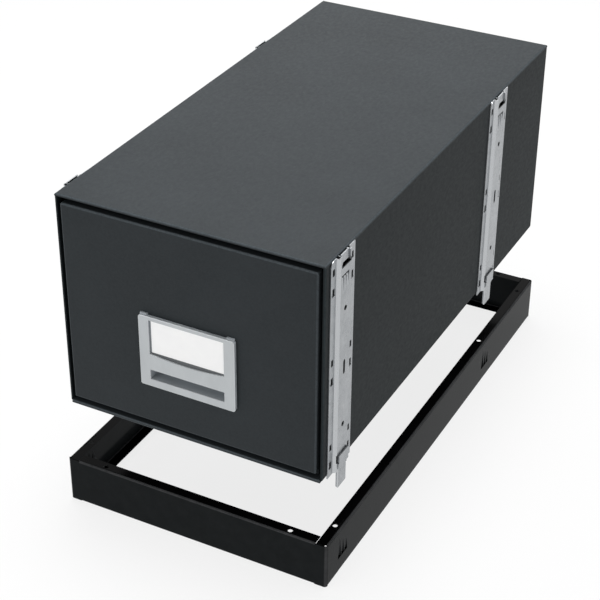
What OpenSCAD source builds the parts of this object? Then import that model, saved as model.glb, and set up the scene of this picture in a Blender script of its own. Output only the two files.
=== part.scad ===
// Archival file box: a corrugated-board drawer unit in a sleeve, four pressed
// steel uprights with hook tongues, and the sheet-steel plinth frame it stands on.
// Millimetres, +Z up, front towards -Y, origin on the floor at the middle of the plinth.

/* [Plinth frame] */
// Plinth width across the side walls
base_w = 356; // [340:1:400]
// Plinth depth, front wall to rear wall
base_d = 668; // [640:1:760]
// Plinth height
base_h = 62; // [56:1:90]
// Sheet-steel thickness of the plinth
sheet_t = 1.2; // [1:0.1:1.6]
// Width of the top and bottom flanges
flange_w = 14.3; // [13.5:0.1:18]
// Outer radius of the vertical corner bends
corner_r = 4; // [3:0.5:6]
// Screw-hole diameter in the flanges
flange_hole_d = 6.2; // [5.8:0.1:6.4]
// Spacing of the screw holes in the front and rear flanges
flange_hole_span = 254; // [200:1:280]
// Distance of the side-flange holes from each end of the plinth
side_hole_inset = 39.4; // [36:0.1:60]

/* [Case] */
// Sleeve width
case_w = 338; // [326:1:338]
// Sleeve depth
case_d = 660; // [620:1:664]
// Sleeve height
case_h = 283; // [276:1:330]
// Corrugated board thickness of the sleeve
board_t = 3; // [2.6:0.1:4]
// Thickness of the sleeve floor at its front lip
floor_board_t = 4.5; // [4:0.1:5]
// Height of the sleeve above the plinth as drawn
lift_gap = 86; // [30:1:160]

/* [Uprights] */
// Upright strip width
upright_w = 57; // [52:1:64]
// Width of the raised crown
crown_w = 28; // [26:0.5:30]
// Height of the crown above the flanges
crown_h = 3.8; // [3.4:0.1:5]
// Front uprights, centre line behind the sleeve front
upright_front = 38.5; // [34:0.5:60]
// Rear uprights, centre line behind the sleeve front
upright_rear = 482.5; // [440:0.5:580]
// Length of the hook tongues below the sleeve
tongue_drop = 24; // [16:1:26]

/* [Drawer] */
// Drawer front clearance to the outside of the sleeve, left and right
front_margin_x = 7.6; // [6.8:0.1:9]
// Drawer front clearance to the outside of the sleeve, top
front_margin_top = 9.4; // [8:0.1:12]
// Drawer front clearance to the outside of the sleeve, bottom
front_margin_low = 11.2; // [9:0.1:13]
// How far the drawer front stands forward of the sleeve
front_proud = 1.8; // [0:0.1:3]
// Drawer front thickness
front_t = 10; // [8:0.5:12]
// Tray wall thickness
tray_t = 5; // [4:0.5:6]
// Tray wall height above the tray floor
tray_h = 252; // [200:1:256]

/* [Pull] */
// Label holder width
pull_w = 124; // [112:1:150]
// Label holder height
pull_h = 94; // [90:1:110]
// Height of the label holder centre above the sleeve bottom
pull_z = 113; // [100:1:140]
// How far the holder stands out from the drawer front
pull_out = 5; // [4.6:0.1:8]
// Window width
window_w = 97; // [80:1:100]
// Window height at its sides
window_h = 45; // [34:1:46]
// Finger slot height
slot_h = 13; // [11:0.5:16]

/* [Hidden] */
$fn = 48;
eps = 0.02;
z_case = base_h + lift_gap;
bx = base_w / 2;
by = base_d / 2;
cx = case_w / 2;
cy = case_d / 2;
bend_r = 1.8;
side_hole_in = 9;
lance_w = 25;
lance_low = 20.5;
lance_high = 51;
lance_deep = 4.4;
pleats = 3;
lip_t = 0.8;
lip_h = 3.2;
raw_low = 0.9;
raw_high = 0.5;
strip_t = 1.2;
y_front = -cy + upright_front;
y_rear = -cy + upright_rear;
x_flange = cx + strip_t;
x_crown = x_flange + crown_h;
liner_t = 4;
tongue_w = 20.5;
tongue_turn = 2.6;
tongue_out = x_crown + 0.2;
strap_x = tongue_out - cx;
tray_x = cx - board_t - liner_t - 1.5;
front_x = cx - front_margin_x;
front_z0 = z_case + front_margin_low;
front_z1 = z_case + case_h - front_margin_top;
face_plane = -cy - front_proud;
front_y = face_plane + front_t;
tray_y = cy - board_t - 6;
tray_z = z_case + floor_board_t + 0.4;
floor_t = 4;
pz = z_case + pull_z;
window_low = pz + pull_h / 2 - 4.6 - window_h;
slot_z = pz - pull_h / 2 + 10;
face_t = 1.8;
face_y = face_plane - pull_out;
body_y = face_y + face_t;
tub_h = 24;
card_z = window_low + 1.8;
card_t = 0.7;
card_w = 98.4;
card_shift = 2.9;
card_h = 46;
card_gap = 1.3;
tub_deep = 14;
tub_t = 1.8;
pin_x = pull_w / 2 - 7;

// ---- shared shapes ----

// Rectangle from corner to corner
module span(a, b) translate(a) cube(b - a);

// Flat outline with all four corners rounded
module rounded(w, h, r) {
    square([w - 2 * r, h], center = true);
    square([w, h - 2 * r], center = true);
    for (i = [-1, 1], j = [-1, 1]) translate([i * (w / 2 - r), j * (h / 2 - r)]) circle(r);
}

// Quarter ring, opening towards +x +y from its centre
module quarter_ring(r_out, t) intersection() {
    difference() { circle(r_out); circle(r_out - t); }
    square(r_out + 1);
}

// A flat outline in x and z, run along y between two positions
module along_y(y0, y1) translate([0, y1, 0]) rotate([90, 0, 0]) linear_extrude(y1 - y0) children();

// A flat outline in y and z, run along x between two positions
module along_x(x0, x1) translate([x0, 0, 0]) rotate([90, 0, 90]) linear_extrude(x1 - x0) children();

// ---- plinth ----

// Channel section: wall on the outside, flange at the top and at the bottom, facing inwards
module channel_section() {
    r = bend_r + sheet_t;
    translate([bx - sheet_t, r]) square([sheet_t, base_h - 2 * r]);
    for (s = [0, 1]) {
        y0 = s == 0 ? 0 : base_h - sheet_t;
        translate([bx - flange_w, y0]) square([flange_w - r, sheet_t]);
    }
    translate([bx - r, base_h - r]) quarter_ring(r, sheet_t);
    translate([bx - r, r]) mirror([0, 1]) quarter_ring(r, sheet_t);
}

// One pleat of a pressed lance, tapering upwards, its hollow side facing +x.
// The face of the sheet is the plane x = 0.
module pleat(w, deep, shoulder, tall) linear_extrude(tall, scale = 0.1)
    polygon([[0, -w / 2], [0, w / 2], [-shoulder, w / 2], [-deep, 0], [-shoulder, -w / 2]]);
module pleat_hollow(w, deep, tall) translate([sheet_t / 2, 0, 0])
    pleat(w, deep + sheet_t / 2, deep * 0.5 + sheet_t / 2, tall);
module pleat_back(w, deep, tall) translate([-sheet_t / 2, 0, 0])
    pleat(w + 1, deep + 0.9, deep * 0.5 + 0.9, tall);

// Row of pleats of falling height, hollow side or back; the back starts at back_low
module pleat_row(w, deep, tall, step, hollow, back_low) for (i = [0:pleats - 1])
    translate([0, w * (i - (pleats - 1) / 2), 0])
        if (hollow) pleat_hollow(w + 0.1, deep, tall - step * i);
        else translate([0, 0, back_low]) pleat_back(w + 0.1, deep, tall - step * i);

module lance_pleats(hollow) translate([bx, 0, lance_low])
    pleat_row(lance_w / pleats, lance_deep, lance_high - lance_low, 5, hollow, -sheet_t);

// Turned-down inner edge of a tongue slot, stepping round its short leg
module slot_lip() {
    x0 = tongue_out - strip_t - 0.45;
    step_x = x0 - 1.25;
    span([x0 - lip_t, -8.2, -lip_h], [x0, 16.5, eps]);
    span([step_x - lip_t, -12, -lip_h], [step_x, -7.4, eps]);
    span([step_x - lip_t, -8.2, -lip_h], [x0, -7.4, eps]);
}

module side_rail() {
    yr = by - corner_r;
    wall_gap = 0.4;
    difference() {
        union() {
            along_y(-yr, yr) channel_section();
            // flange ends run on to just short of the front and rear walls
            for (z = [0, base_h - sheet_t]) span([bx - flange_w, -by + sheet_t + wall_gap, z],
                [bx - corner_r, by - sheet_t - wall_gap, z + sheet_t]);
            // wall carried round the vertical corners
            for (s = [-1, 1]) scale([1, s, 1]) translate([bx - corner_r, yr, raw_low])
                linear_extrude(base_h - raw_low - raw_high) quarter_ring(corner_r, sheet_t);
            // pressed-in sheet behind the lances
            for (y = [y_front, y_rear]) translate([0, y, 0]) lance_pleats(false);
            // inner edge of each tongue slot turned down
            for (y = [y_front, y_rear]) translate([0, y, base_h - sheet_t]) slot_lip();
        }
        for (y = [y_front, y_rear]) translate([0, y, 0]) {
            lance_pleats(true);
            // relief cut in the lower bend under each lance
            span([bx - bend_r - sheet_t, -10, -1], [bx + 1, 10, 2.5]);
            // slot in the top flange for the hook tongue and its turned-in edge
            span([tongue_out - strip_t - 0.4, -12, base_h - 1.5], [tongue_out + 0.5, 12, base_h + 1]);
            span([tongue_out - tongue_turn - 0.2, -12, base_h - 1.5], [tongue_out, -8.3, base_h + 1]);
        }
        for (y = [-by + side_hole_inset, y_rear - 4.8, by - side_hole_inset])
            translate([bx - side_hole_in, y, base_h - 6]) cylinder(d = flange_hole_d, h = 7);
    }
}

module plinth_right() color([0.03, 0.03, 0.035]) side_rail();
module plinth_left() color([0.03, 0.03, 0.035]) mirror([1, 0, 0]) side_rail();

module cross_rail() {
    joint_gap = 1.1;
    reach = bx - flange_w - joint_gap;
    r = bend_r + sheet_t;
    difference() {
        union() {
            rotate([0, 0, -90]) translate([by - bx, 0, 0]) along_y(-reach, reach) channel_section();
            // wall ends past the flanges keep their raw top and bottom edges
            for (s = [-1, 1]) span([s > 0 ? reach - eps : -bx + corner_r, -by, raw_low],
                [s > 0 ? bx - corner_r : -reach + eps, -by + sheet_t, base_h - raw_high]);
        }
        for (s = [-1, 1]) translate([s * flange_hole_span / 2, -by + 7.2, base_h - 3])
            cylinder(d = flange_hole_d, h = 4);
    }
}

module plinth_front() color([0.03, 0.03, 0.035]) cross_rail();
module plinth_rear() color([0.03, 0.03, 0.035]) mirror([0, 1, 0]) cross_rail();

// ---- sleeve ----

fold_r = 2.2;
side_low = 3;
lip_out = 1.6;
lip_r = 1.5;

module sleeve_top() color([0.15, 0.16, 0.165]) intersection() {
    along_y(-cy, cy) translate([0, z_case + case_h - 10]) rounded(case_w, 20, fold_r);
    along_x(-cx, cx) translate([0, z_case + case_h - 10]) rounded(case_d, 20, 2.4);
    span([-cx, -cy, z_case + case_h - board_t], [cx, cy, z_case + case_h]);
}

// The floor board ends in a rounded lip, lower than the side walls and a little proud of them
module sleeve_bottom() color([0.15, 0.16, 0.165])
    along_x(-cx + board_t, cx - board_t) translate([-lip_out / 2, z_case + floor_board_t / 2])
        rounded(case_d + lip_out, floor_board_t, lip_r);

module sleeve_side() intersection() {
    span([cx - board_t, -cy, z_case + side_low], [cx, cy, z_case + case_h - board_t]);
    translate([0, 0, z_case - 1]) linear_extrude(case_h) translate([cx - 10, 0])
        rounded(20, case_d, 1.8);
    along_y(-cy, cy) translate([cx - 10, z_case + side_low + 200]) rounded(20, 400, fold_r);
}

module sleeve_right() color([0.15, 0.16, 0.165]) sleeve_side();
module sleeve_left() color([0.15, 0.16, 0.165]) mirror([1, 0, 0]) sleeve_side();

module sleeve_back() color([0.15, 0.16, 0.165])
    span([-cx + board_t, cy - board_t, z_case + floor_board_t],
        [cx - board_t, cy - 0.3, z_case + case_h - board_t]);

// Second layer of board inside each side wall, set back from the opening
module liner_board() span([cx - board_t - liner_t, -cy + 18, z_case + floor_board_t],
    [cx - board_t, cy - board_t, z_case + case_h - board_t]);

module liner_right() color([0.08, 0.085, 0.09]) liner_board();
module liner_left() color([0.08, 0.085, 0.09]) mirror([1, 0, 0]) liner_board();

// ---- uprights ----

hole_pairs = [28, case_h / 2, case_h - 28];
pair_half = 11.8;
pocket_z = case_h - 28;
strap_t = 2;
web_x = 2.2;
strap_low = 6;
strap_high = 22.5;
upright_h = case_h - 1.8;

// Hat section seen from above: flanges against the board, crown standing off
module hat_section() {
    t = strip_t;
    hw = upright_w / 2;
    hc = crown_w / 2;
    run = 1.8;
    bend = 0.5;
    for (s = [-1, 1]) scale([1, s]) polygon([[0, hw], [0, hc + run], [crown_h, hc - run], [crown_h, 0],
        [crown_h + t, 0], [crown_h + t, hc - run + bend], [t, hc + run + bend], [t, hw]]);
}

// Fan of pleats below the pocket, fading downwards
module fan_pleats(hollow) translate([crown_h + strip_t, -1.6, pocket_z - 1.2]) mirror([0, 0, 1])
    pleat_row(5.6, 1.9, 25, 4, hollow, 0.3);

module upright_at(y) translate([cx, y, z_case]) difference() {
    union() {
        difference() {
            linear_extrude(upright_h) hat_section();
            // crown pressed back between two ribs at the top
            span([crown_h - 2, -9.4, pocket_z + 14], [crown_h + 3, 9.4, case_h + 1]);
            // pocket slots
            span([crown_h - 2, -10.5, pocket_z + 11.5], [crown_h + 3, 12, pocket_z + 16.5]);
            span([crown_h - 2, -10.5, pocket_z - 1.2], [crown_h + 3, 7, pocket_z + 2.4]);
            // crown opened behind the strap
            span([crown_h - 0.5, -11.4, -1], [crown_h + 3, 11.4, strap_high + 0.5]);
            // slit beside the strap and notches between flanges and crown at the top
            span([crown_h - 1.6, -13.4, strap_high - 10], [crown_h + 3, -11.2, strap_high + 1]);
            for (s = [-1, 1]) translate([-1, s * (crown_w / 2 - 0.2), upright_h]) rotate([45, 0, 0])
                translate([0, -1.4, -1.4]) cube([5.2, 2.8, 2.8]);
        }
        // recessed web between the ribs
        span([web_x, -9.4, pocket_z + 16.5], [web_x + strip_t, 9.4, upright_h + 1]);
        for (s = [-1, 1]) span([0, s * 9.4 - (s > 0 ? 0 : strip_t), pocket_z + 14],
            [crown_h + 0.4, s * 9.4 + (s > 0 ? strip_t : 0), upright_h]);
        // pressed sheet behind the pleats
        fan_pleats(false);
        // strap over the hook tongue
        span([strap_x, -11.1, strap_low], [strap_x + strap_t, 11.6, strap_high]);
        span([crown_h - 1, -12.3, strap_low], [strap_x + strap_t, -11.1, strap_high - 10]);
        span([crown_h - 1, 11.1, strap_low], [strap_x + strap_t, 12.3, strap_high]);
        // turned-out lips under the fixing windows
        for (z = hole_pairs, s = [-1, 1]) translate([strip_t, s * 22.2 - 2.5, z - pair_half - 5.4])
            cube([1, 5, 1.2]);
    }
    fan_pleats(true);
    // fixing windows in both flanges
    for (z = hole_pairs, k = [-1, 1], s = [-1, 1])
        translate([-1, s * 22.2 - 2.5, z + k * pair_half - 4.2]) cube([strip_t + 3, 5, 8.4]);
    // round holes and upright slot in the crown
    for (z = [60.5, 213.5]) translate([crown_h - 1, 0, z]) rotate([0, 90, 0]) cylinder(d = 6.4, h = 4);
    translate([crown_h - 1, 0, case_h / 2 - 4]) rotate([90, 0, 90]) linear_extrude(4) rounded(4.6, 18.6, 2.2);
    // front top corner rounded off, rear top corner clipped
    mirror([0, 1, 0]) translate([-1, upright_w / 2 - 8, upright_h - 8])
        rotate([90, 0, 90]) linear_extrude(4) difference() { square(10); circle(8); }
    translate([-1, upright_w / 2 - 2, upright_h]) rotate([45, 0, 0]) translate([0, 0, -1]) cube([4, 8, 8]);
}

module upright_front_right() color([0.66, 0.68, 0.69]) upright_at(y_front);
module upright_front_left() color([0.66, 0.68, 0.69]) mirror([1, 0, 0]) upright_at(y_front);
module upright_rear_right() color([0.66, 0.68, 0.69]) upright_at(y_rear);
module upright_rear_left() color([0.66, 0.68, 0.69]) mirror([1, 0, 0]) upright_at(y_rear);

// Hook tongue: flat plate with its front edge turned in, caught behind the strap
module tongue_at(y) translate([tongue_out, y, z_case]) {
    hw = tongue_w / 2;
    difference() {
        along_x(-strip_t, 0) translate([0, (strap_high - tongue_drop) / 2 - 0.5])
            rounded(tongue_w, strap_high + tongue_drop - 1, 1.5);
        // front outer edge broken below the strap
        translate([0, -hw, -tongue_drop - 1]) rotate(45)
            translate([-0.7, -0.7, 0]) cube([1.4, 1.4, tongue_drop + 4]);
    }
    span([-tongue_turn, -hw, -tongue_drop + 1.5], [-strip_t + eps, -hw + strip_t, strap_high - 3]);
}

module tongue_front_right() color([0.62, 0.64, 0.66]) tongue_at(y_front);
module tongue_front_left() color([0.62, 0.64, 0.66]) mirror([1, 0, 0]) tongue_at(y_front);
module tongue_rear_right() color([0.62, 0.64, 0.66]) tongue_at(y_rear);
module tongue_rear_left() color([0.62, 0.64, 0.66]) mirror([1, 0, 0]) tongue_at(y_rear);

// ---- drawer ----

module pin_holes(d, y0, y1) for (s = [-1, 1], k = [-1, 1])
    translate([s * pin_x, y1, pz + k * (pull_h / 2 - 12)]) rotate([90, 0, 0]) cylinder(d = d, h = y1 - y0);

module drawer_front() color([0.17, 0.18, 0.185]) difference() {
    zc = (front_z0 + front_z1) / 2;
    zh = front_z1 - front_z0;
    r = 2.6;
    intersection() {
        along_y(face_plane, front_y) translate([0, zc]) rounded(2 * front_x, zh, 3);
        along_x(-front_x, front_x) translate([face_plane + 20, zc]) rounded(40, zh, r);
        translate([0, face_plane + 20, front_z0]) linear_extrude(zh) rounded(2 * front_x, 40, r);
        span([-front_x, face_plane, front_z0], [front_x, front_y, front_z1]);
    }
    // opening for the finger tub
    span([-window_w / 2 - tub_t - 0.4, face_plane - 1, slot_z - tub_t - 0.4],
        [window_w / 2 + tub_t + 0.4, front_y + 1, slot_z + tub_h + tub_t + 0.4]);
    pin_holes(4.4, face_plane - 1, front_y + 1);
}

module tray_side() span([tray_x - tray_t, front_y, tray_z + floor_t],
    [tray_x, tray_y, tray_z + floor_t + tray_h]);

module drawer_side_right() color([0.1, 0.105, 0.11]) tray_side();
module drawer_side_left() color([0.1, 0.105, 0.11]) mirror([1, 0, 0]) tray_side();

module drawer_back() color([0.1, 0.105, 0.11])
    span([-tray_x + tray_t, tray_y - tray_t, tray_z + floor_t],
        [tray_x - tray_t, tray_y, tray_z + floor_t + tray_h]);

module drawer_floor() color([0.1, 0.105, 0.11])
    span([-tray_x, front_y, tray_z], [tray_x, tray_y, tray_z + floor_t]);

// ---- label holder and pull ----

// Window outline: square top, lower edge sagging in a shallow arc
module window_outline() {
    sag = 3.3;
    r = (window_w * window_w / 4 + sag * sag) / (2 * sag);
    translate([-window_w / 2, window_low]) square([window_w, window_h]);
    intersection() {
        translate([0, window_low - sag + r]) circle(r, $fn = 360);
        translate([-window_w / 2, window_low - sag - 1]) square([window_w, sag + 2]);
    }
}

// Outline of the holder, rounded off towards the front
module holder_shape(y_out, y_in, inset) intersection() {
    along_y(y_out, y_in) translate([0, pz]) rounded(pull_w - 2 * inset, pull_h - 2 * inset, 3.5);
    along_x(-pull_w, pull_w) translate([y_out + 10, pz]) rounded(20, pull_h - 2 * inset, 0.8);
    translate([0, y_out + 10, pz - pull_h]) linear_extrude(2 * pull_h)
        rounded(pull_w - 2 * inset, 20, 0.8);
}

module holder_face() color([0.7, 0.72, 0.74]) difference() {
    holder_shape(face_y, body_y, 0);
    along_y(face_y - 1, body_y + 1) window_outline();
    span([-window_w / 2, face_y - 1, slot_z], [window_w / 2, body_y + 1, slot_z + slot_h]);
}

module holder_body() color([0.3, 0.31, 0.33]) difference() {
    top = pz + pull_h / 2;
    union() {
        along_y(body_y, face_plane - 0.05) translate([0, pz]) rounded(pull_w - 0.6, pull_h - 0.6, 3.2);
        // end blocks on the top edge
        for (s = [-1, 1]) span([s > 0 ? pull_w / 2 - 11 : -pull_w / 2 + 1.5, body_y + 0.6, top - 4],
            [s > 0 ? pull_w / 2 - 1.5 : -pull_w / 2 + 11, face_plane - 0.05, top + 1.8]);
        // finger tub let into the drawer front
        span([-window_w / 2 - tub_t, face_plane - 1, slot_z - tub_t],
            [window_w / 2 + tub_t, face_plane + tub_deep + tub_t, slot_z + tub_h + tub_t]);
    }
    // card channel, open at the top
    span([-card_w / 2 - 3, body_y - 1, card_z - 0.1], [card_w / 2 + 3, body_y + card_gap, top + 4]);
    // hollow behind the finger slot
    span([-window_w / 2, body_y - 1, slot_z], [window_w / 2, face_plane + tub_deep, slot_z + slot_h]);
    span([-window_w / 2, face_plane - 1, slot_z], [window_w / 2, face_plane + tub_deep, slot_z + tub_h]);
    pin_holes(2.6, face_plane - 2.4, face_plane + 1);
}

module holder_back_plate() color([0.3, 0.31, 0.32]) difference() {
    along_y(front_y, front_y + 2) translate([0, pz]) rounded(pull_w + 4, pull_h + 4, 4);
    span([-window_w / 2 - tub_t - 0.4, front_y - 1, slot_z - tub_t - 0.4],
        [window_w / 2 + tub_t + 0.4, front_y + 3, slot_z + tub_h + tub_t + 0.4]);
    pin_holes(4.4, front_y - 1, front_y + 3);
}

// Four round fixing pins: head inside the drawer, shank through board and plate
module holder_pins() color([0.55, 0.56, 0.58]) {
    pin_holes(2.5, face_plane - 2.2, front_y + 3);
    pin_holes(8, front_y + 2, front_y + 3.6);
}

module label_card() color([0.97, 0.97, 0.96])
    span([-card_w / 2 + card_shift, body_y + 0.3, card_z],
        [card_w / 2 + card_shift, body_y + 0.3 + card_t, card_z + card_h]);

// ---- nodes ----

plinth_front();
plinth_rear();
plinth_right();
plinth_left();
sleeve_top();
sleeve_bottom();
sleeve_right();
sleeve_left();
sleeve_back();
liner_right();
liner_left();
upright_front_right();
upright_front_left();
upright_rear_right();
upright_rear_left();
tongue_front_right();
tongue_front_left();
tongue_rear_right();
tongue_rear_left();
drawer_front();
drawer_side_right();
drawer_side_left();
drawer_back();
drawer_floor();
holder_face();
holder_body();
holder_back_plate();
holder_pins();
label_card();
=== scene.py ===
import math

import bpy
from mathutils import Matrix, Vector


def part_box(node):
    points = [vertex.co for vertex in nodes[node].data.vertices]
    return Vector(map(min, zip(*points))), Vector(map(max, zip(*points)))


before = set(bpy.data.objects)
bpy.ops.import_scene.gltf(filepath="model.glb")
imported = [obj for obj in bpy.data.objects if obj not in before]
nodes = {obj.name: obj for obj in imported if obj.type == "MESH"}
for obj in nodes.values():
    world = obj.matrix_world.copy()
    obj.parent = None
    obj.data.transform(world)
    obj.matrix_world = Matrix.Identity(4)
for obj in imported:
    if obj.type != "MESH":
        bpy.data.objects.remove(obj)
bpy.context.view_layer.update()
MM = 0.001
FLOOR_GLOW = 0.81
# painted shade under an upright fades out over this width beside it
SHADE_BAND_FADE = 1.4 * MM
# sum of the fourth powers of the surface direction: 1 on faces square to the axes
SQUARE_FACE, TURNED_EDGE = 0.985, 0.70
# fourth power of its upward part: 1 on level faces
SLOPING, LEVEL = 0.80, 0.95


# ---- camera -------------------------------------------------------------

def aim_camera():
    """Long lens from the front right, high up; distances and aim are in millimetres."""
    az, el, roll = 0.46852, 0.54437, 0.01185
    target = Vector((-13.46, 0.03, 189.36)) * MM
    dist = 2084.45 * MM
    fw = Vector((-math.sin(az) * math.cos(el), math.cos(az) * math.cos(el), -math.sin(el)))
    right = Vector((math.cos(az), math.sin(az), 0.0))
    up = right.cross(fw)
    r2 = math.cos(roll) * right + math.sin(roll) * up
    u2 = -math.sin(roll) * right + math.cos(roll) * up
    data = bpy.data.cameras.new("camera")
    cam = bpy.data.objects.new("camera", data)
    bpy.context.scene.collection.objects.link(cam)
    m = Matrix((r2, u2, -fw)).transposed().to_4x4()
    m.translation = target - fw * dist
    cam.matrix_world = m
    data.sensor_width = 36.0
    data.lens = 95.674
    data.shift_x = -0.02083
    data.shift_y = -0.03708
    data.clip_start = 0.05
    data.clip_end = 60.0
    bpy.context.scene.camera = cam


# ---- node helpers -------------------------------------------------------

def set_stops(ramp, stops):
    """Give a colour ramp its (position, colour) stops."""
    e = ramp.color_ramp.elements
    while len(e) < len(stops):
        e.new(0.5)
    for i, (pos, col) in enumerate(stops):
        e[i].position = pos
        e[i].color = col


class Tree:
    """Short hand for building one material's node tree."""

    def __init__(self, name):
        self.mat = bpy.data.materials.new(name)
        self.mat.use_nodes = True
        self.nt = self.mat.node_tree
        self.nt.nodes.clear()
        out = self.node("ShaderNodeOutputMaterial")
        self.bsdf = self.node("ShaderNodeBsdfPrincipled")
        self.link(self.bsdf.outputs["BSDF"], out.inputs["Surface"])
        self.coord = self.node("ShaderNodeTexCoord").outputs["Object"]

    def node(self, kind, **props):
        n = self.nt.nodes.new(kind)
        for k, v in props.items():
            setattr(n, k, v)
        return n

    def link(self, a, b):
        self.nt.links.new(a, b)

    def put(self, socket, value):
        if isinstance(value, bpy.types.NodeSocket):
            self.link(value, socket)
        else:
            socket.default_value = value

    def noise(self, scale, detail=3.0, rough=0.55, stretch=None, distort=0.0):
        n = self.node("ShaderNodeTexNoise")
        n.inputs["Scale"].default_value = scale
        n.inputs["Detail"].default_value = detail
        n.inputs["Roughness"].default_value = rough
        n.inputs["Distortion"].default_value = distort
        self.link(self.stretched(stretch), n.inputs["Vector"])
        return n.outputs["Fac"]

    def stretched(self, stretch):
        if stretch is None:
            return self.coord
        m = self.node("ShaderNodeMapping")
        m.inputs["Scale"].default_value = stretch
        self.link(self.coord, m.inputs["Vector"])
        return m.outputs["Vector"]

    def cells(self, scale):
        """Distance to the middle of the nearest of many small cells."""
        n = self.node("ShaderNodeTexVoronoi")
        n.inputs["Scale"].default_value = scale
        self.link(self.coord, n.inputs["Vector"])
        return n.outputs["Distance"]

    def ramp(self, fac, stops):
        n = self.node("ShaderNodeValToRGB")
        set_stops(n, stops)
        self.link(fac, n.inputs["Fac"])
        return n.outputs["Color"]

    def fit(self, value, a0, a1, b0, b1):
        """Carry the range a0 to a1 over to b0 to b1, clamped."""
        n = self.node("ShaderNodeMapRange")
        n.inputs["From Min"].default_value = a0
        n.inputs["From Max"].default_value = a1
        n.inputs["To Min"].default_value = b0
        n.inputs["To Max"].default_value = b1
        self.link(value, n.inputs["Value"])
        return n.outputs["Result"]

    def math(self, op, a, b=0.0):
        n = self.node("ShaderNodeMath", operation=op)
        self.put(n.inputs[0], a)
        self.put(n.inputs[1], b)
        return n.outputs[0]

    def mix(self, fac, a, b):
        """Colour a where fac is 0, colour b where it is 1; a colour may be a bare triple."""
        n = self.node("ShaderNodeMix", data_type="RGBA")
        self.put(n.inputs["Factor"], fac)
        self.put(n.inputs[6], a if not isinstance(a, tuple) else a + (1.0,))
        self.put(n.inputs[7], b if not isinstance(b, tuple) else b + (1.0,))
        return n.outputs[2]

    def bump(self, height, strength, distance, normal=None):
        n = self.node("ShaderNodeBump")
        n.inputs["Strength"].default_value = strength
        n.inputs["Distance"].default_value = distance
        self.link(height, n.inputs["Height"])
        if normal is not None:
            self.link(normal, n.inputs["Normal"])
        return n.outputs["Normal"]

    def bands(self, painted_shade_bands):
        """0 inside the given bands along y, 1 outside them: the mask for painted shade."""
        split = self.node("ShaderNodeSeparateXYZ")
        self.link(self.coord, split.inputs[0])
        clear = 1.0
        for mid, half in painted_shade_bands:
            away = self.math("ABSOLUTE", self.math("SUBTRACT", split.outputs["Y"], mid))
            clear = self.math("MULTIPLY", clear, self.fit(away, half, half + SHADE_BAND_FADE, 0.0, 1.0))
        return clear

    def edges(self):
        """Two masks: 1 where a bend or rounded edge turns, and 1 on level faces."""
        split = self.node("ShaderNodeSeparateXYZ")
        self.link(self.node("ShaderNodeNewGeometry").outputs["Normal"], split.inputs[0])
        powers = [self.math("POWER", self.math("ABSOLUTE", split.outputs[a]), 4.0) for a in "XYZ"]
        total = self.math("ADD", self.math("ADD", powers[0], powers[1]), powers[2])
        bend = self.fit(total, SQUARE_FACE, TURNED_EDGE, 0.0, 1.0)
        level = self.fit(powers[2], SLOPING, LEVEL, 0.0, 1.0)
        return bend, level

    def set(self, **kw):
        for k, v in kw.items():
            self.put(self.bsdf.inputs[k.replace("_", " ")], v)


def grey(value, tint):
    return tuple(value * t for t in tint)


# ---- materials ----------------------------------------------------------

COOL = (0.84, 1.0, 1.11)


def sleeve_board(name, base, tint=COOL, gloss=0.12, painted_shade_bands=()):
    """Charcoal printed board: uneven ink, fine specks and paper fibre; bends and rounded edges lighter,
    partly rubbed wear and partly painted highlight.

    The covered bands are (middle, half width) bands along y that lie under steel, where the board is
    darkened as painted shade."""
    t = Tree(name)
    cloud = t.noise(9.0, 4.0, 0.6)
    speck = t.noise(420.0, 2.0, 0.6)
    fibre = t.noise(230.0, 3.0, 0.65, stretch=(1.0, 0.6, 1.0), distort=0.4)
    lo = grey(base * 0.90, tint) + (1.0,)
    hi = grey(base * 1.10, tint) + (1.0,)
    col = t.ramp(cloud, [(0.30, lo), (0.70, hi)])
    col = t.mix(t.fit(speck, 0.35, 0.68, 0.0, 0.35), col, grey(base * 1.45, tint))
    # bends and rounded edges lighter, broken up by specks: partly rubbed wear, partly painted highlight
    col = t.mix(t.math("MULTIPLY", t.edges()[0], t.fit(speck, 0.3, 0.6, 0.35, 0.75)), col,
                grey(base * 2.8, tint))
    # painted shade: the board is darkened under the steel uprights and fades out just beside them
    if painted_shade_bands:
        col = t.mix(t.bands(painted_shade_bands), grey(base * 0.06, tint), col)
    t.set(Base_Color=col, Roughness=t.fit(fibre, 0.3, 0.7, 0.50, 0.62))
    t.bsdf.inputs["Specular IOR Level"].default_value = gloss
    n = t.bump(fibre, 0.14, 0.00008)
    n = t.bump(cloud, 0.18, 0.0008, n)
    t.set(Normal=n)
    return t.mat


def black_paint(name):
    """Black powder coat on thin sheet: orange peel, faint dust; level faces much darker than the walls as
    painted shade; bends lighter, partly rubbed wear and partly painted highlight.
    """
    t = Tree(name)
    peel = t.noise(260.0, 2.0, 0.5)
    wave = t.noise(7.0, 2.0, 0.5)
    dust = t.noise(60.0, 5.0, 0.7)
    bend, level = t.edges()
    wall = t.ramp(dust, [(0.35, (0.0098, 0.0112, 0.0118, 1)), (0.75, (0.0138, 0.0154, 0.0162, 1))])
    # painted shade: level faces get a near-black colour, much darker than the walls
    level_painted_shade = t.ramp(dust, [(0.35, (0.0012, 0.0012, 0.0013, 1)), (0.75, (0.0022, 0.0022, 0.0024, 1))])
    col = t.mix(level, wall, level_painted_shade)
    # bends lighter, broken up by dust: partly rubbed wear, partly painted highlight
    col = t.mix(t.math("MULTIPLY", bend, t.fit(dust, 0.35, 0.65, 0.6, 1.0)), col, (0.055, 0.056, 0.058))
    t.set(Base_Color=col, Roughness=t.fit(dust, 0.35, 0.75, 0.13, 0.20))
    t.bsdf.inputs["IOR"].default_value = 1.085
    n = t.bump(peel, 0.06, 0.00010)
    n = t.bump(wave, 0.12, 0.0006, n)
    t.set(Normal=n)
    return t.mat


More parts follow.
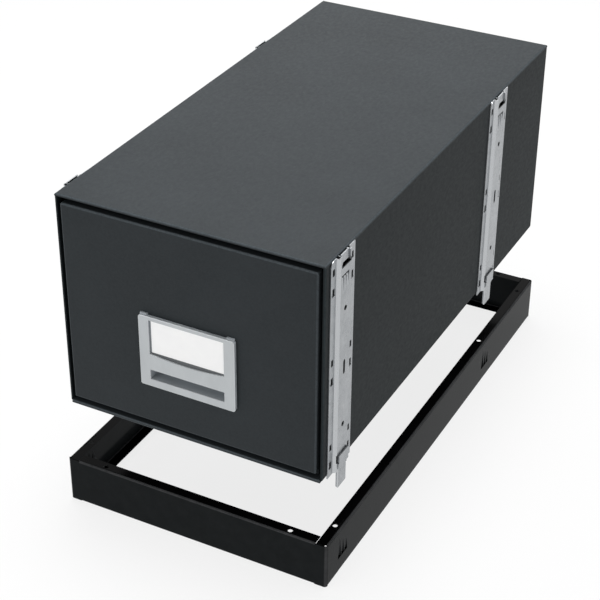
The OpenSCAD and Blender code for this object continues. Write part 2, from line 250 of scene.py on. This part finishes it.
def galvanised(name):
    """Rolled galvanised steel: fine lengthwise grain, pale patches, small crystal cells."""
    t = Tree(name)
    grain = t.noise(900.0, 2.0, 0.6, stretch=(1.0, 1.0, 0.03))
    patch = t.noise(55.0, 3.0, 0.6)
    spangle = t.cells(260.0)
    col = t.ramp(patch, [(0.30, (0.25, 0.265, 0.28, 1)), (0.72, (0.37, 0.385, 0.40, 1))])
    col = t.mix(0.25, col, t.ramp(spangle, [(0.0, (0.27, 0.285, 0.295, 1)), (1.0, (0.44, 0.455, 0.47, 1))]))
    # painted highlight: bends and sloping faces lighter
    col = t.mix(t.edges()[0], col, (0.50, 0.515, 0.53))
    rough = t.math("ADD", t.fit(grain, 0.3, 0.7, 0.22, 0.32), t.fit(patch, 0.3, 0.7, 0.0, 0.06))
    t.set(Base_Color=col, Roughness=rough)
    t.bsdf.inputs["Metallic"].default_value = 0.85
    n = t.bump(grain, 0.18, 0.00006)
    n = t.bump(patch, 0.15, 0.0003, n)
    t.set(Normal=n)
    return t.mat


def moulded(name, base, tint, rough, front=None):
    """Moulded plastic: spark-eroded grain, faint flow marks, painted highlight on bends and rounded edges.

    front is a (place along y, value) pair: the skin at that plane has that value, as painted shade."""
    t = Tree(name)
    grain = t.noise(1400.0, 2.0, 0.6)
    flow = t.noise(40.0, 3.0, 0.6, stretch=(1.0, 1.0, 0.4))
    lo = grey(base * 0.95, tint) + (1.0,)
    hi = grey(base * 1.05, tint) + (1.0,)
    col = t.ramp(flow, [(0.3, lo), (0.7, hi)])
    # painted shade: the skin at the front plane gets the given dark value
    if front:
        split = t.node("ShaderNodeSeparateXYZ")
        t.link(t.coord, split.inputs[0])
        plane, value = front
        deep = t.fit(split.outputs["Y"], plane + 0.05 * MM, plane + 0.25 * MM, 0.0, 1.0)
        col = t.mix(deep, grey(value, tint), col)
    # painted highlight on bends and rounded edges
    col = t.mix(t.edges()[0], col, grey(min(base * 1.45, 0.85), tint))
    t.set(Base_Color=col, Roughness=t.fit(grain, 0.3, 0.7, rough - 0.05, rough + 0.06))
    t.set(Normal=t.bump(grain, 0.18, 0.00006))
    return t.mat


def card_stock(name):
    """White card: short fibres and a faint cloudiness."""
    t = Tree(name)
    fibre = t.noise(700.0, 3.0, 0.65, stretch=(0.4, 1.0, 1.0))
    cloud = t.noise(60.0, 2.0, 0.5)
    t.set(Base_Color=t.ramp(cloud, [(0.3, (0.95, 0.95, 0.95, 1)), (0.7, (0.98, 0.98, 0.975, 1))]),
          Roughness=t.fit(fibre, 0.3, 0.7, 0.6, 0.72))
    t.set(Normal=t.bump(fibre, 0.12, 0.00005))
    return t.mat


def stage_floor(name):
    """Pale translucent floor panel, softly lit from below."""
    t = Tree(name)
    cloud = t.noise(1.2, 2.0, 0.5)
    t.set(Base_Color=t.ramp(cloud, [(0.0, (0.125, 0.125, 0.125, 1)), (1.0, (0.135, 0.135, 0.135, 1))]))
    t.bsdf.inputs["Roughness"].default_value = 0.9
    t.bsdf.inputs["Specular IOR Level"].default_value = 0.05
    t.bsdf.inputs["Emission Color"].default_value = (1, 1, 1, 1)
    t.bsdf.inputs["Emission Strength"].default_value = FLOOR_GLOW
    return t.mat


def assign(names, mat):
    for n in names:
        o = nodes[n]
        if not o.material_slots:
            o.data.materials.append(mat)
        for s in o.material_slots:
            s.material = mat


# ---- stage and light ----------------------------------------------------

def build_stage():
    me = bpy.data.meshes.new("floor")
    half = 14.0
    me.from_pydata([(-half, -half, 0), (half, -half, 0), (half, half, 0), (-half, half, 0)],
                   [], [(0, 1, 2, 3)])
    o = bpy.data.objects.new("floor", me)
    bpy.context.scene.collection.objects.link(o)
    me.materials.append(stage_floor("floor_white"))


def area(name, place, look, size, power):
    """White rectangular area light at place, turned to look; size is (width, height)."""
    light = bpy.data.lights.new(name, "AREA")
    light.shape = "RECTANGLE"
    light.size, light.size_y = size
    light.energy = power
    lamp = bpy.data.objects.new(name, light)
    bpy.context.scene.collection.objects.link(lamp)
    lamp.location = place
    aim = Vector(look) - Vector(place)
    lamp.rotation_euler = aim.to_track_quat("-Z", "Y").to_euler()


def light_scene():
    """Pale surroundings with a darker band part of the way up, and three soft lights."""
    scene = bpy.context.scene
    scene.view_settings.view_transform = "Standard"
    world = bpy.data.worlds.new("studio")
    scene.world = world
    world.use_nodes = True
    tree = world.node_tree
    background = tree.nodes["Background"]
    split = tree.nodes.new("ShaderNodeSeparateXYZ")
    tree.links.new(tree.nodes.new("ShaderNodeTexCoord").outputs["Generated"], split.inputs[0])
    ramp = tree.nodes.new("ShaderNodeValToRGB")
    # brightness from the horizon, and everything below it, up to straight overhead
    levels = [(0.0, 0.95), (0.22, 0.95), (0.34, 0.16), (0.60, 0.16), (1.0, 0.9)]
    set_stops(ramp, [(pos, (v, v, v, 1)) for pos, v in levels])
    tree.links.new(split.outputs["Z"], ramp.inputs["Fac"])
    tree.links.new(ramp.outputs["Color"], background.inputs["Color"])
    background.inputs["Strength"].default_value = 1.0
    area("top_soft", (-0.15, 0.25, 3.6), (0, 0, 0.2), (1.5, 1.5), 125)
    area("front_soft", (-1.6, -3.4, 1.5), (0, 0, 0.25), (1.8, 1.8), 26)
    area("back_left_soft", (-1.75, 3.45, 2.5), (0, 0, 0.2), (2.8, 2.6), 45)


aim_camera()
build_stage()
light_scene()

board = sleeve_board("charcoal_board", 0.028)
drawer_ink = sleeve_board("charcoal_drawer", 0.027)
inner = sleeve_board("inner_board", 0.02)
# bands along y under the uprights, where the side boards get painted shade
steel_shade_bands = []
for upright in ("upright_front_right", "upright_rear_right"):
    low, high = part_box(upright)
    steel_shade_bands.append(((low[1] + high[1]) / 2, (high[1] - low[1]) / 2))
assign(["sleeve_top", "sleeve_back"], board)
# a lighter copy of the board on the bottom lip: painted highlight
assign(["sleeve_bottom"], sleeve_board("charcoal_lip_painted_highlight", 0.040))
# a darker copy of the board on the sides: painted shade, with painted shade under the uprights too
assign(["sleeve_right", "sleeve_left"],
       sleeve_board("charcoal_side_painted_shade", 0.0152, tint=(0.74, 1.0, 1.10), gloss=0.08, painted_shade_bands=steel_shade_bands))
assign(["drawer_front"], drawer_ink)
assign(["liner_right", "liner_left", "drawer_side_right", "drawer_side_left", "drawer_back",
        "drawer_floor"], inner)
assign([n for n in nodes if n.startswith("plinth")], black_paint("black_powder_coat"))
assign([n for n in nodes if n.startswith(("upright", "tongue"))], galvanised("galvanised_steel"))
assign(["holder_face"], moulded("silver_plastic", 0.51, (0.95, 1.0, 1.03), 0.42))
assign(["holder_body", "holder_back_plate", "holder_pins"],
       # the front skin of the grey body is painted dark as painted shade
       moulded("grey_plastic", 0.44, (0.93, 1.0, 1.06), 0.45,
               front=(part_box("holder_body")[0][1], 0.10)))
assign(["label_card"], card_stock("white_card"))
